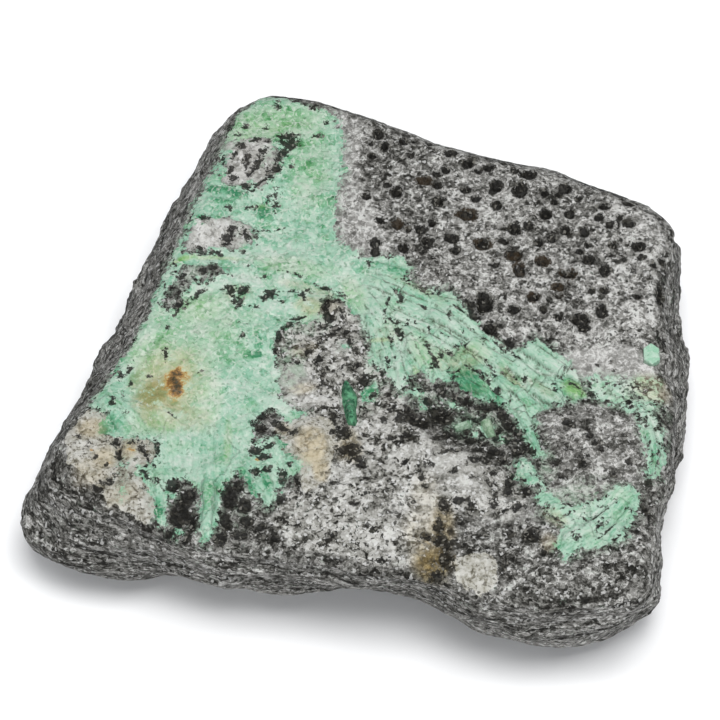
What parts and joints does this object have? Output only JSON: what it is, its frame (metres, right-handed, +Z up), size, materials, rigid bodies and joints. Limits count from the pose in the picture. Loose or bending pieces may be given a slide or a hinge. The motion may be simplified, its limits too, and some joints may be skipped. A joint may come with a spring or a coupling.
{
  "type": "emerald in matrix mineral specimen",
  "caption": "Flat slab of dark mica schist with pale green emerald crystals and cream feldspar grown into its broad upper face, resting on a flat underside.",
  "frame": {"origin": "on the ground under the middle of the slab's bounding box", "axes": "+Z up out of the face with the emeralds, +X to the right and +Y to the back with the pitted grey field at the back right"},
  "size_m": [0.0866, 0.0864, 0.0214],
  "materials": {
    "schist": "rough, fine mica sparkle",
    "emerald": "pale green, fractured, half glossy",
    "emerald_dark": "deep green, half glossy",
    "feldspar": "cream, granular, dull"
  },
  "bodies": {
    "root": {"matrix": "schist", "emerald_vein": "emerald", "emerald_hexagonal": "emerald", "emerald_right_band": "emerald", "emerald_front_patch": "emerald", "emerald_dark_prism": "emerald_dark", "emerald_recess_large": "emerald", "emerald_recess_small_1": "emerald", "emerald_recess_small_2": "emerald", "feldspar_left": "feldspar", "feldspar_middle": "feldspar", "feldspar_nodule": "feldspar"}
  },
  "joints": []
}
